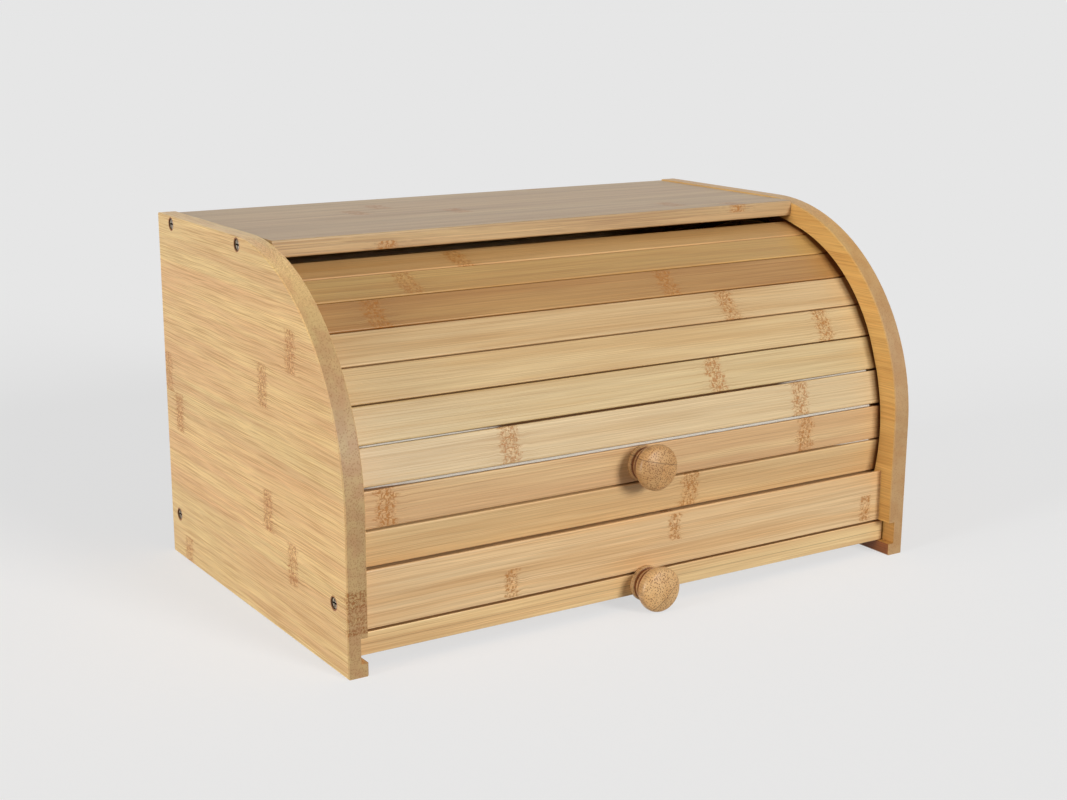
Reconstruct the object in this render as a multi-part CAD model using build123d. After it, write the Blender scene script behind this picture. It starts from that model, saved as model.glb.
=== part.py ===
"""Roll-front bread box with a shallow drawer, all of bamboo board.

Millimetres, +X to the right, +Y to the back, +Z up.  The origin is on the surface that the
box stands on, under the middle of the whole object, knobs included.

The roll front ("curtain") is a row of slats glued to canvas.  Its ends run in a groove that
is one arc of a circle, a little wider in its bend, so the whole curtain turns about the centre
of that circle.  Angles on the curtain are measured about that centre, from the front (-Y) up.
"""
from build123d import *
from math import asin, atan, cos, degrees, radians, sin, sqrt
import os

# ------------------------------------------------------------------ driving dimensions
# Carcase
WIDTH = 400.0               # over both side panels
DEPTH = 254.0               # of a side panel, front edge to back edge
HEIGHT = 220.0              # of a side panel
SIDE_THICKNESS = 12.0
CORNER_RADIUS = 133.5       # the big round between a side panel's front and top edges
EDGE_ROUND = 1.0            # rounded front edges of the top board and the rail
EDGE_EASE = 0.6             # softened edges of the side panels and the drawer front

TOP_THICKNESS = 10.0
TOP_DROP = 0.8              # top board below the side panels' top edges
TOP_SETBACK = 108.2         # top board's front edge behind the side panels' front edges

FLOOR_THICKNESS = 10.0
RAIL_THICKNESS = 12.0       # fixed rail between the curtain and the drawer
RAIL_HEIGHT = 31.0
RAIL_SETBACK = 10.0         # rail's face behind the side panels' front edges
RAIL_LIP = 2.5              # rail's front edge above the seat of the curtain

BACK_THICKNESS = 5.0
BACK_REBATE = 6.0           # how far the back panel reaches into each side panel
BACK_GAP = 0.2              # round the back panel's ends in their rebates

# Curtain and its groove
TRACK_RADIUS = 127.9        # outer edge of the groove
TRACK_INSET = 13.3          # groove's outer edge behind the side panels' front edges
TRACK_TOP_GAP = 0.3         # groove's outer edge under the top board
TRACK_SWELL = 1.8           # groove widened outwards in the bend, so that flat slats pass it easily
TRACK_SWELL_ANGLE = 47.0    # where it is widest, in degrees on the curtain
TRACK_SWELL_REACH = 25.0    # degrees to either side of that
TRACK_DEPTH = 6.0           # of the groove into a side panel
TRACK_END_GAP = 1.0         # slat end to the bottom of the groove
TRACK_SEAT = 1.0            # how far the lowest slat sits into the groove's rounded end
TRACK_REAR_MARGIN = 1.0     # degrees of groove past the curtain when it is fully open
PLAY_OUTER = 1.2            # slat corner to the groove's outer edge
PLAY_INNER = 0.35           # slat to the groove's inner edge
CURTAIN_TRAVEL = 68.0       # degrees from closed to fully open

SLAT_THICKNESS = 5.0
SLAT_WIDTH = 21.0
SLAT_ROUND = 0.9            # outer long edges of a slat
SLAT_GAPS = [0.5, 1.1, 0.5, 0.1, 0.1, 0.1, 0.1, 0.1]   # at the canvas, lowest joint first
KNOB_SLAT = 2               # the curtain's knob is on the second slat from the bottom
CURTAIN_RAIL_GAP = 1.0      # lowest slat above the rail
CANVAS_THICKNESS = 0.8
CANVAS_END_GAP = 7.5        # canvas short of each side panel's inner face
CANVAS_MARGIN = 2.0         # canvas short of the curtain's top and bottom edges

# Drawer and its grooves
FOOT_HEIGHT = 7.5           # side panel left below the drawer groove
DRAWER_GROOVE_DEPTH = 4.4
DRAWER_GROOVE_STOP = 10.0   # groove stops short of the side panels' back edges
DRAWER_HEIGHT = 12.8
DRAWER_FRONT_THICKNESS = 12.0
DRAWER_SIDE_THICKNESS = 12.0
DRAWER_BACK_THICKNESS = 12.0
DRAWER_REST_GAP = 0.3       # under the drawer
DRAWER_TOP_GAP = 1.2        # over the drawer
DRAWER_END_GAP = 1.2        # drawer to the bottom of each groove
DRAWER_STOP_GAP = 0.3       # drawer to the rear end of its grooves
TRAY_THICKNESS = 3.0
TRAY_REBATE = 5.0

# Knobs, in distances from the face they stand on
KNOB_REACH = 20.3
KNOB_FLANGE_RADIUS = 10.8
KNOB_FLANGE = 3.0           # thickness of the flange at the base
KNOB_NECK_RADIUS = 8.6
KNOB_GROOVE = 1.8           # width of the turned groove on either side of the collar
KNOB_COLLAR_RADIUS = 10.2
KNOB_COLLAR = 2.0
KNOB_HEAD_RADIUS = 13.6
KNOB_RIM_DEPTH = 5.6        # from the widest place of the head to the middle of its face
KNOB_EASE = 0.5             # bevels of the flange and the collar

# Fasteners
SIDE_SCREW_LENGTH = 35.0
SIDE_SCREW_RADIUS = 2.0
SIDE_SCREW_HEAD_RADIUS = 3.4
SIDE_SCREW_SINK = 0.6       # head below the board's surface
SCREW_LIP = 0.3             # straight rim round a countersunk head
TOP_SCREW_INSET = 22.0      # from the top board's front edge, and from the back edge
FLOOR_SCREW_INSET = 13.0    # from the back edge
SIDE_SCREW_RISE = 1.0       # above the middle of the board it goes into
KNOB_SCREW_RADIUS = 1.75
KNOB_SCREW_HEAD_RADIUS = 3.2
KNOB_SCREW_HEAD = 2.0       # height of its pan head
KNOB_SCREW_EASE = 0.8       # round on the pan head
KNOB_SCREW_BITE = 11.0      # length of screw inside a knob
CROSS_WIDTH = 1.0           # of the cross recess in a screw head
CROSS_LENGTH = 4.8
CROSS_DEPTH = 1.2
NAIL_RADIUS = 0.9
NAIL_HEAD_RADIUS = 2.2
NAIL_HEAD = 0.6
NAIL_LENGTH = 16.0
NAILS_PER_SIDE = 3
NAILS_PER_FLOOR = 4
FLOOR_DOWEL_RADIUS = 3.0
FLOOR_DOWEL_LENGTH = 22.0
FLOOR_DOWEL_COVER = 3.0     # wood left in the rail in front of the dowels
FLOOR_DOWELS = 4
DRAWER_DOWEL_RADIUS = 2.0
DRAWER_DOWEL_LENGTH = 16.0
HOLE_CLEARANCE = 0.05       # round every screw, nail and dowel

# ------------------------------------------------------------------ worked-out places
KNOB_OVERHANG = max(0.0, KNOB_REACH - RAIL_SETBACK)
FRONT = -(DEPTH - KNOB_OVERHANG) / 2            # side panels' front edges
BACK = FRONT + DEPTH
OUTER_X = WIDTH / 2
INNER_X = OUTER_X - SIDE_THICKNESS

DRAWER_BOTTOM = FOOT_HEIGHT + DRAWER_REST_GAP
DRAWER_TOP = DRAWER_BOTTOM + DRAWER_HEIGHT
DRAWER_MID = (DRAWER_BOTTOM + DRAWER_TOP) / 2
RAIL_BOTTOM = DRAWER_TOP + DRAWER_TOP_GAP       # also the underside of the floor board
RAIL_TOP = RAIL_BOTTOM + RAIL_HEIGHT
RAIL_FACE = FRONT + RAIL_SETBACK
RAIL_REAR = RAIL_FACE + RAIL_THICKNESS
FLOOR_TOP = RAIL_BOTTOM + FLOOR_THICKNESS
FLOOR_MID = RAIL_BOTTOM + FLOOR_THICKNESS / 2
BACK_INNER = BACK - BACK_THICKNESS
TOP_UPPER = HEIGHT - TOP_DROP
TOP_UNDER = TOP_UPPER - TOP_THICKNESS
TOP_MID = TOP_UPPER - TOP_THICKNESS / 2
TOP_FACE = FRONT + TOP_SETBACK

# The curtain's circle: its centre, and the slats' place on it.  A flat slat's corners stand
# further out than its middle, so the middle is worked out from the corners.
TRACK_Y = FRONT + TRACK_INSET + TRACK_RADIUS
TRACK_Z = TOP_UNDER - TRACK_TOP_GAP - TRACK_RADIUS
SLAT_CORNER = TRACK_RADIUS - PLAY_OUTER
SLAT_FACE = sqrt(SLAT_CORNER ** 2 - (SLAT_WIDTH / 2) ** 2)
SLAT_REAR = SLAT_FACE - SLAT_THICKNESS
TRACK_WIDTH = TRACK_RADIUS - (SLAT_REAR - PLAY_INNER)
TRACK_MIDDLE = TRACK_RADIUS - TRACK_WIDTH / 2
SLAT_HALF_LENGTH = INNER_X + TRACK_DEPTH - TRACK_END_GAP

CURTAIN_BOTTOM = -degrees(asin((TRACK_Z - RAIL_TOP - CURTAIN_RAIL_GAP) / SLAT_CORNER))
SLAT_HALF_ANGLE = degrees(asin(SLAT_WIDTH / 2 / SLAT_CORNER))
SLAT_REAR_HALF_ANGLE = degrees(atan(SLAT_WIDTH / 2 / SLAT_REAR))


def slat_angles():
    """Middle angle of each slat, lowest first: the slats meet, but for their gaps, at the canvas."""
    angles = [CURTAIN_BOTTOM + SLAT_HALF_ANGLE]
    for gap in SLAT_GAPS:
        angles.append(angles[-1] + 2 * SLAT_REAR_HALF_ANGLE + degrees(gap / SLAT_REAR))
    return angles


SLAT_ANGLES = slat_angles()
CURTAIN_TOP = SLAT_ANGLES[-1] + SLAT_HALF_ANGLE


# ------------------------------------------------------------------ helpers
def block(x, y, z):
    """A board between two limits on each axis."""
    size = [high - low for low, high in (x, y, z)]
    middle = [(low + high) / 2 for low, high in (x, y, z)]
    return Pos(*middle) * Box(*size)


def front_edges(board):
    """The two edges of a board that run along X on its front face."""
    return board.edges().filter_by(Axis.X).group_by(Axis.Y)[0]


def turned(profile):
    """A turned piece: a closed outline of (radius, height) points, turned about the Z axis."""
    return revolve(make_face(Plane.XZ * profile), Axis.Z)


def aim(point, direction):
    """A place whose own Z axis points along direction, with its X axis level."""
    return Plane(origin=point, x_dir=Vector(0, 0, 1).cross(Vector(*direction)), z_dir=direction).location


def on_curtain(angle, piece):
    """Turns a piece made at the very front of the curtain's circle up to its angle."""
    return Pos(0, TRACK_Y, TRACK_Z) * Rot(-angle, 0, 0) * piece


def outward(angle):
    """Unit vector from the curtain's centre towards the slat at that angle."""
    return (0, -cos(radians(angle)), sin(radians(angle)))


def at_radius(radius, angle):
    """Point on the curtain's middle plane."""
    _, y, z = outward(angle)
    return (0, TRACK_Y + radius * y, TRACK_Z + radius * z)


def spread(count, low, high):
    """Evenly spaced places that leave half a space at each end."""
    step = (high - low) / count
    return [low + step * (i + 0.5) for i in range(count)]


def solids_of(pieces):
    """Loose pieces of one kind, kept as separate solids."""
    return Compound(children=[solid for piece in pieces for solid in piece.solids()])


# ------------------------------------------------------------------ fasteners
def cross_recess():
    """Tool for the cross recess, cut down from the top of a head at Z = 0."""
    bar = Box(CROSS_LENGTH, CROSS_WIDTH, 2 * CROSS_DEPTH)
    return bar + Rot(0, 0, 90) * bar


def side_screw(grow=0.0):
    """Countersunk screw, head up at Z = 0, point down.  grow makes the tool for its hole."""
    shank = SIDE_SCREW_RADIUS + grow
    head = SIDE_SCREW_HEAD_RADIUS + grow
    cone_end = -SCREW_LIP - (SIDE_SCREW_HEAD_RADIUS - SIDE_SCREW_RADIUS)
    tip = -SIDE_SCREW_LENGTH - grow
    profile = Polyline((0, 0), (head, 0), (head, -SCREW_LIP), (shank, cone_end),
                       (shank, tip + 2 * shank), (0, tip), close=True)
    return turned(profile)


def side_screw_hole():
    """Screw's hole, open to the board's face SIDE_SCREW_SINK above the head."""
    mouth = Cylinder(SIDE_SCREW_HEAD_RADIUS + HOLE_CLEARANCE, 2 * SIDE_SCREW_SINK)
    return side_screw(HOLE_CLEARANCE) + mouth


def knob_screw(grip):
    """Pan-head screw through a thickness of grip into a knob.  The head's seat is at Z = 0."""
    head = Pos(0, 0, KNOB_SCREW_HEAD / 2) * Cylinder(KNOB_SCREW_HEAD_RADIUS, KNOB_SCREW_HEAD)
    head = fillet(head.edges().group_by(Axis.Z)[-1], KNOB_SCREW_EASE)
    length = grip + KNOB_SCREW_BITE
    shank = Pos(0, 0, -length / 2) * Cylinder(KNOB_SCREW_RADIUS, length)
    return head + shank - Pos(0, 0, KNOB_SCREW_HEAD) * cross_recess()


def knob_screw_hole(length):
    """Hole down from Z = 0."""
    return Pos(0, 0, -length / 2) * Cylinder(KNOB_SCREW_RADIUS + HOLE_CLEARANCE, length)


def nail(grow=0.0):
    """Flat-headed nail, top of the head at Z = 0, point down."""
    shank = NAIL_RADIUS + grow
    head = NAIL_HEAD_RADIUS + grow
    tip = -NAIL_LENGTH - grow
    profile = Polyline((0, 0), (head, 0), (head, -NAIL_HEAD), (shank, -NAIL_HEAD),
                       (shank, tip + 2 * shank), (0, tip), close=True)
    return turned(profile)


def side_screw_places():
    """Head centres and directions (pointing out of the box) on the right-hand side."""
    x = OUTER_X - SIDE_SCREW_SINK
    points = [(BACK - TOP_SCREW_INSET, TOP_MID), (TOP_FACE + TOP_SCREW_INSET, TOP_MID),
              (BACK - FLOOR_SCREW_INSET, FLOOR_MID),
              ((RAIL_FACE + RAIL_REAR) / 2, (RAIL_BOTTOM + RAIL_TOP) / 2)]
    return [aim((x, y, z + SIDE_SCREW_RISE), (1, 0, 0)) for y, z in points]


def nail_places():
    """Nails up both back edges and along the floor board."""
    side_x = INNER_X + BACK_REBATE / 2
    up = spread(NAILS_PER_SIDE, FLOOR_TOP, TOP_UNDER)
    points = [(sign * side_x, z) for sign in (-1, 1) for z in up]
    points += [(x, FLOOR_MID) for x in spread(NAILS_PER_FLOOR, -INNER_X, INNER_X)]
    return [aim((x, BACK, z), (0, 1, 0)) for x, z in points]


def floor_dowel_places():
    """Dowels across the joint between the rail and the floor board."""
    y = RAIL_FACE + FLOOR_DOWEL_COVER + FLOOR_DOWEL_LENGTH / 2
    return [aim((x, y, FLOOR_MID), (0, 1, 0)) for x in spread(FLOOR_DOWELS, -INNER_X, INNER_X)]


def floor_dowel(grow=0.0):
    return Cylinder(FLOOR_DOWEL_RADIUS + grow, FLOOR_DOWEL_LENGTH + 2 * grow)


# ------------------------------------------------------------------ carcase
def curtain_groove():
    """Outline of the curtain's groove on a side panel's inner face: an arc, widened in its bend."""
    start = 180 - (CURTAIN_TOP + CURTAIN_TRAVEL + TRACK_REAR_MARGIN)
    end = 180 - CURTAIN_BOTTOM - degrees(TRACK_SEAT / TRACK_MIDDLE)
    middle = CenterArc((TRACK_Y, TRACK_Z), TRACK_MIDDLE, start, end - start)
    low = at_radius(TRACK_RADIUS, TRACK_SWELL_ANGLE - TRACK_SWELL_REACH)[1:]
    high = at_radius(TRACK_RADIUS, TRACK_SWELL_ANGLE + TRACK_SWELL_REACH)[1:]
    widest = at_radius(TRACK_RADIUS + TRACK_SWELL, TRACK_SWELL_ANGLE)[1:]
    inside = at_radius(TRACK_MIDDLE, TRACK_SWELL_ANGLE)[1:]
    swell = make_face([ThreePointArc(low, widest, high), ThreePointArc(high, inside, low)])
    return Plane.YZ.offset(INNER_X) * (SlotArc(middle, TRACK_WIDTH) + swell)


def side_panel():
    """Right-hand side panel, with its curtain groove, drawer groove and rear rebate."""
    round_y = FRONT + CORNER_RADIUS
    round_z = HEIGHT - CORNER_RADIUS
    reach = CORNER_RADIUS * cos(radians(45))
    outline = [Line((FRONT, 0), (BACK, 0)), Line((BACK, 0), (BACK, HEIGHT)),
               Line((BACK, HEIGHT), (round_y, HEIGHT)),
               ThreePointArc((round_y, HEIGHT), (round_y - reach, round_z + reach), (FRONT, round_z)),
               Line((FRONT, round_z), (FRONT, 0))]
    face = Plane.YZ.offset(INNER_X) * make_face(outline)
    panel = extrude(face, SIDE_THICKNESS)
    panel = chamfer(panel.faces().filter_by(Plane.YZ).edges(), EDGE_EASE)

    panel -= extrude(curtain_groove(), TRACK_DEPTH)
    panel -= block((INNER_X - 1, INNER_X + DRAWER_GROOVE_DEPTH), (FRONT - 1, BACK - DRAWER_GROOVE_STOP),
                   (FOOT_HEIGHT, RAIL_BOTTOM))
    panel -= block((INNER_X - 1, INNER_X + BACK_REBATE), (BACK_INNER, BACK + 1), (RAIL_BOTTOM, TOP_UNDER))
    for place in side_screw_places():
        panel -= place * side_screw_hole()
    for place in nail_places():
        panel -= place * nail(HOLE_CLEARANCE)
    return panel


def with_end_screws(board):
    """Cuts the side screws' holes in both ends of a board."""
    holes = [place * side_screw(HOLE_CLEARANCE) for place in side_screw_places()]
    for hole in holes:
        board = board - hole - mirror(hole, about=Plane.YZ)
    return board


def top_panel():
    board = block((-INNER_X, INNER_X), (TOP_FACE, BACK), (TOP_UNDER, TOP_UPPER))
    board = fillet(front_edges(board), EDGE_ROUND)
    return with_end_screws(board)


def floor_panel():
    board = block((-INNER_X, INNER_X), (RAIL_REAR, BACK_INNER), (RAIL_BOTTOM, FLOOR_TOP))
    board = with_end_screws(board)
    for place in floor_dowel_places():
        board -= place * floor_dowel(HOLE_CLEARANCE)
    for place in nail_places():
        board -= place * nail(HOLE_CLEARANCE)
    return board


def front_rail():
    """Rail whose top is the closed curtain's seat, with a low lip that slopes up in front of it."""
    lip_foot = TRACK_Y - sqrt(TRACK_RADIUS ** 2 - (TRACK_Z - RAIL_TOP) ** 2)
    section = Polyline((RAIL_FACE, RAIL_BOTTOM), (RAIL_REAR, RAIL_BOTTOM), (RAIL_REAR, RAIL_TOP),
                       (lip_foot, RAIL_TOP), (RAIL_FACE, RAIL_TOP + RAIL_LIP), close=True)
    board = extrude(Plane.YZ * make_face(section), INNER_X, both=True)
    board = fillet(front_edges(board), EDGE_ROUND)
    board = with_end_screws(board)
    for place in floor_dowel_places():
        board -= place * floor_dowel(HOLE_CLEARANCE)
    return board


def back_panel():
    reach = INNER_X + BACK_REBATE - BACK_GAP
    board = block((-reach, reach), (BACK_INNER, BACK), (RAIL_BOTTOM, TOP_UNDER))
    for place in nail_places():
        board -= place * nail(HOLE_CLEARANCE)
    return board


# ------------------------------------------------------------------ knobs
def knob():
    """Turned knob standing on Z = 0: flange, groove, collar, groove and a domed head."""
    collar_start = KNOB_FLANGE + KNOB_GROOVE
    collar_end = collar_start + KNOB_COLLAR
    head_start = collar_end + KNOB_GROOVE
    rim = KNOB_REACH - KNOB_RIM_DEPTH
    ease = KNOB_EASE
    lower = Polyline((0, 0), (KNOB_FLANGE_RADIUS - ease, 0), (KNOB_FLANGE_RADIUS, ease),
                     (KNOB_FLANGE_RADIUS, KNOB_FLANGE - ease), (KNOB_FLANGE_RADIUS - ease, KNOB_FLANGE),
                     (KNOB_NECK_RADIUS, KNOB_FLANGE + KNOB_GROOVE / 2),
                     (KNOB_COLLAR_RADIUS - ease, collar_start), (KNOB_COLLAR_RADIUS, collar_start + ease),
                     (KNOB_COLLAR_RADIUS, collar_end - ease), (KNOB_COLLAR_RADIUS - ease, collar_end),
                     (KNOB_NECK_RADIUS, collar_end + KNOB_GROOVE / 2),
                     (KNOB_COLLAR_RADIUS - ease, head_start))
    bulge = (KNOB_COLLAR_RADIUS + (KNOB_HEAD_RADIUS - KNOB_COLLAR_RADIUS) * 0.78,
             head_start + (rim - head_start) * 0.45)
    under = ThreePointArc((KNOB_COLLAR_RADIUS - ease, head_start), bulge, (KNOB_HEAD_RADIUS, rim))
    shoulder = (KNOB_HEAD_RADIUS * 0.72, rim + KNOB_RIM_DEPTH * 0.72)
    dome = Spline((KNOB_HEAD_RADIUS, rim), shoulder, (0, KNOB_REACH), tangents=[(0, 1), (-1, 0)])
    axis = Line((0, KNOB_REACH), (0, 0))
    return turned(lower + under + dome + axis)


def bored_knob():
    """Knob with the blind hole for its screw, up from its base."""
    bite = KNOB_SCREW_BITE + HOLE_CLEARANCE
    return knob() - Pos(0, 0, bite) * knob_screw_hole(bite)


# ------------------------------------------------------------------ curtain
def slat(number):
    """Slat, 1 at the bottom.  Flat board with rounded outer edges, its ends in the grooves."""
    board = block((-SLAT_HALF_LENGTH, SLAT_HALF_LENGTH), (-SLAT_FACE, -SLAT_REAR),
                  (-SLAT_WIDTH / 2, SLAT_WIDTH / 2))
    board = fillet(front_edges(board), SLAT_ROUND)
    board = on_curtain(SLAT_ANGLES[number - 1], board)
    if number == KNOB_SLAT:
        board -= curtain_screw_place() * knob_screw_hole(CANVAS_THICKNESS + SLAT_THICKNESS)
    return board


def curtain_screw_place():
    """Seat of the knob screw's head, on the canvas, with Z pointing into the box."""
    angle = SLAT_ANGLES[KNOB_SLAT - 1]
    inward = [-part for part in outward(angle)]
    return aim(at_radius(SLAT_REAR - CANVAS_THICKNESS, angle), inward)


def canvas_line(radius):
    """Open line across the slats' rear faces, at their distance from the circle's centre."""
    def point(distance, angle):
        return (TRACK_Y - distance * cos(radians(angle)), TRACK_Z + distance * sin(radians(angle)))

    end = SLAT_WIDTH / 2 - CANVAS_MARGIN
    swing = degrees(atan(end / radius))
    points = [point(sqrt(radius ** 2 + end ** 2), SLAT_ANGLES[0] - swing)]
    for lower, upper in zip(SLAT_ANGLES, SLAT_ANGLES[1:]):
        half = (upper - lower) / 2
        points.append(point(radius / cos(radians(half)), lower + half))
    points.append(point(sqrt(radius ** 2 + end ** 2), SLAT_ANGLES[-1] + swing))
    return points


def tambour_canvas():
    """Canvas glued behind the slats, flat behind each one."""
    outer = canvas_line(SLAT_REAR)
    inner = canvas_line(SLAT_REAR - CANVAS_THICKNESS)
    half_width = INNER_X - CANVAS_END_GAP
    face = Plane.YZ * make_face(Polyline(*outer, *reversed(inner), close=True))
    sheet = extrude(face, half_width, both=True)
    return sheet - curtain_screw_place() * knob_screw_hole(CANVAS_THICKNESS)


# ------------------------------------------------------------------ drawer
DRAWER_REACH = INNER_X + DRAWER_GROOVE_DEPTH - DRAWER_END_GAP
DRAWER_FRONT_REAR = RAIL_FACE + DRAWER_FRONT_THICKNESS
DRAWER_END = BACK - DRAWER_GROOVE_STOP - DRAWER_STOP_GAP
TRAY_X = DRAWER_REACH - DRAWER_SIDE_THICKNESS
TRAY_BACK = DRAWER_END - DRAWER_BACK_THICKNESS


def tray_space():
    """Room for the drawer's bottom, let into the frame from below."""
    return block((-TRAY_X - TRAY_REBATE, TRAY_X + TRAY_REBATE),
                 (DRAWER_FRONT_REAR - TRAY_REBATE, TRAY_BACK + TRAY_REBATE),
                 (DRAWER_BOTTOM, DRAWER_BOTTOM + TRAY_THICKNESS))


def drawer_dowel_places():
    """Dowels along the runners into the front, and across the runners into the back."""
    x = DRAWER_REACH - DRAWER_SIDE_THICKNESS / 2
    back_y = (TRAY_BACK + DRAWER_END) / 2
    places = []
    for sign in (-1, 1):
        places.append(aim((sign * x, DRAWER_FRONT_REAR, DRAWER_MID), (0, 1, 0)))
        places.append(aim((sign * TRAY_X, back_y, DRAWER_MID), (1, 0, 0)))
    return places


def drawer_dowel(grow=0.0):
    return Cylinder(DRAWER_DOWEL_RADIUS + grow, DRAWER_DOWEL_LENGTH + 2 * grow)


def drawer_board(x, y):
    """Board of the drawer's frame, cut for the bottom and the dowels."""
    board = block(x, y, (DRAWER_BOTTOM, DRAWER_TOP)) - tray_space()
    for place in drawer_dowel_places():
        board -= place * drawer_dowel(HOLE_CLEARANCE)
    return board


def drawer_screw_place():
    """Seat of the knob screw's head on the rear of the drawer front, Z pointing inwards."""
    return aim((0, DRAWER_FRONT_REAR, DRAWER_MID), (0, 1, 0))


def drawer_front():
    board = drawer_board((-DRAWER_REACH, DRAWER_REACH), (RAIL_FACE, DRAWER_FRONT_REAR))
    board = fillet(front_edges(board), EDGE_EASE)
    return board - drawer_screw_place() * knob_screw_hole(DRAWER_FRONT_THICKNESS)


def drawer_side():
    """Right-hand side of the drawer, which is also its runner in the side panel's groove."""
    return drawer_board((TRAY_X, DRAWER_REACH), (DRAWER_FRONT_REAR, DRAWER_END))


# ------------------------------------------------------------------ all pieces by node
def mirrored(piece):
    return mirror(piece, about=Plane.YZ)


def carcase():
    screws = [place * (side_screw() - cross_recess()) for place in side_screw_places()]
    return {
        "side_panel_right": side_panel(),
        "side_panel_left": mirrored(side_panel()),
        "top_panel": top_panel(),
        "floor_panel": floor_panel(),
        "front_rail": front_rail(),
        "back_panel": back_panel(),
        "side_screws_right": solids_of(screws),
        "side_screws_left": solids_of([mirrored(screw) for screw in screws]),
        "back_panel_nails": solids_of([place * nail() for place in nail_places()]),
        "floor_dowels": solids_of([place * floor_dowel() for place in floor_dowel_places()]),
    }


def curtain():
    angle = SLAT_ANGLES[KNOB_SLAT - 1]
    pieces = {f"tambour_slat_{i + 1}": slat(i + 1) for i in range(len(SLAT_ANGLES))}
    pieces["tambour_canvas"] = tambour_canvas()
    pieces["tambour_knob"] = aim(at_radius(SLAT_FACE, angle), outward(angle)) * bored_knob()
    pieces["tambour_knob_screw"] = curtain_screw_place() * knob_screw(CANVAS_THICKNESS + SLAT_THICKNESS)
    return pieces


def drawer():
    return {
        "drawer_front": drawer_front(),
        "drawer_side_right": drawer_side(),
        "drawer_side_left": mirrored(drawer_side()),
        "drawer_back": drawer_board((-TRAY_X, TRAY_X), (TRAY_BACK, DRAWER_END)),
        "drawer_bottom": tray_space(),
        "drawer_knob": aim((0, RAIL_FACE, DRAWER_MID), (0, -1, 0)) * bored_knob(),
        "drawer_knob_screw": drawer_screw_place() * knob_screw(DRAWER_FRONT_THICKNESS),
        "drawer_dowels": solids_of([place * drawer_dowel() for place in drawer_dowel_places()]),
    }


os.makedirs("parts", exist_ok=True)
for name, shape in {**carcase(), **curtain(), **drawer()}.items():
    export_step(shape, f"parts/{name}.step")

print(f"curtain centre y {TRACK_Y:.2f} z {TRACK_Z:.2f}, slat face radius {SLAT_FACE:.2f}")
print(f"curtain from {CURTAIN_BOTTOM:.2f} to {CURTAIN_TOP:.2f} degrees, front edge y {FRONT:.2f}")
print("slat angles", [round(angle, 2) for angle in SLAT_ANGLES])
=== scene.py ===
# %% [markdown]
# # A bread box with a rolling front and a shallow drawer
#
# The box is made of pressed bamboo.  Bamboo grows as a thin-walled tube, so it is split into
# strips about 20 mm wide, and the strips are glued side by side into boards.  Every board on
# this box therefore shows the same three things: fine dark dashes along the grain (the plant's
# veins, cut lengthwise), dots on the ends (the same veins, cut across) and, here and there, the
# speckled band of a growth node.
#
# The boards, slats, knobs and screws come from the packed model and keep their shape.  This
# lesson gives them their finish, and makes the one soft piece, the canvas behind the slats.

# %% Load the packed model
import random
from math import atan, cos, pi, radians, sin, sqrt, tan

import bmesh
import bpy
from mathutils import Matrix, Vector


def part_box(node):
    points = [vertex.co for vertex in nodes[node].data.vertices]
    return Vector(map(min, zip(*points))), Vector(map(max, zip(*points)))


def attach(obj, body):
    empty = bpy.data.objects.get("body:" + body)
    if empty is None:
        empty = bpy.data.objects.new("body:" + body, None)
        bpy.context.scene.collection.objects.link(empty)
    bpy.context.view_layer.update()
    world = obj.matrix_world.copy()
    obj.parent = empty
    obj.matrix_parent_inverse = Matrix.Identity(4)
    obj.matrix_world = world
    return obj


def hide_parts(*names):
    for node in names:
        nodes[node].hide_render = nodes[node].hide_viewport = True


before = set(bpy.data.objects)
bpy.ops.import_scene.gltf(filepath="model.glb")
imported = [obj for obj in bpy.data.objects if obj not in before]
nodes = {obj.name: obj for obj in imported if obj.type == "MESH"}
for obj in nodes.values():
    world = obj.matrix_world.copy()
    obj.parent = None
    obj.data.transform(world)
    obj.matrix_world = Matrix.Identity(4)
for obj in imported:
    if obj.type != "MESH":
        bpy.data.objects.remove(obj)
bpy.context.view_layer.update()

scene = bpy.context.scene
MM = 0.001
print("pieces of the model:", len(nodes))

# %% [markdown]
# ## The camera
#
# The camera stands in front of the box and a little to its left, slightly above it.  Its place
# is written as a turn round the upright axis, a tilt and a very small roll, as one would set a
# tripod head, and then the lens.  The two shift values slide the picture in its frame without
# turning the camera, so that upright edges keep their slight convergence.

# %% Camera
CAMERA_PLACE = Vector((-0.5620, -0.86985, 0.3512))
CAMERA_TURN = radians(-32.73)
CAMERA_TILT = radians(14.07)
CAMERA_ROLL = radians(0.30)
CAMERA_LENS = 56.59          # millimetres, on a sensor 36 mm wide
CAMERA_SHIFT = (-0.0056, 0.0154)

camera = bpy.data.objects.new("camera", bpy.data.cameras.new("camera"))
scene.collection.objects.link(camera)
camera.matrix_world = (Matrix.Translation(CAMERA_PLACE) @ Matrix.Rotation(CAMERA_TURN, 4, "Z")
                       @ Matrix.Rotation(pi / 2 - CAMERA_TILT, 4, "X")
                       @ Matrix.Rotation(CAMERA_ROLL, 4, "Z"))
camera.data.sensor_width = 36
camera.data.lens = CAMERA_LENS
camera.data.shift_x, camera.data.shift_y = CAMERA_SHIFT
scene.camera = camera
print("camera at", tuple(round(x, 3) for x in camera.location))

# %% [markdown]
# ## Helpers for shader nodes
#
# A material is a small network of nodes.  Placing each node by hand takes many lines, so this
# class places a node, wires it and hands back its output.  A recipe then reads like a sum.

# %% A small class that writes node networks
def tone(red, green, blue):
    """A colour as read from a screen, 0 to 255, turned into the linear light that nodes use."""
    def linear(value):
        value = value / 255
        return value / 12.92 if value <= 0.04045 else ((value + 0.055) / 1.055) ** 2.4
    return (linear(red), linear(green), linear(blue), 1.0)


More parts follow.
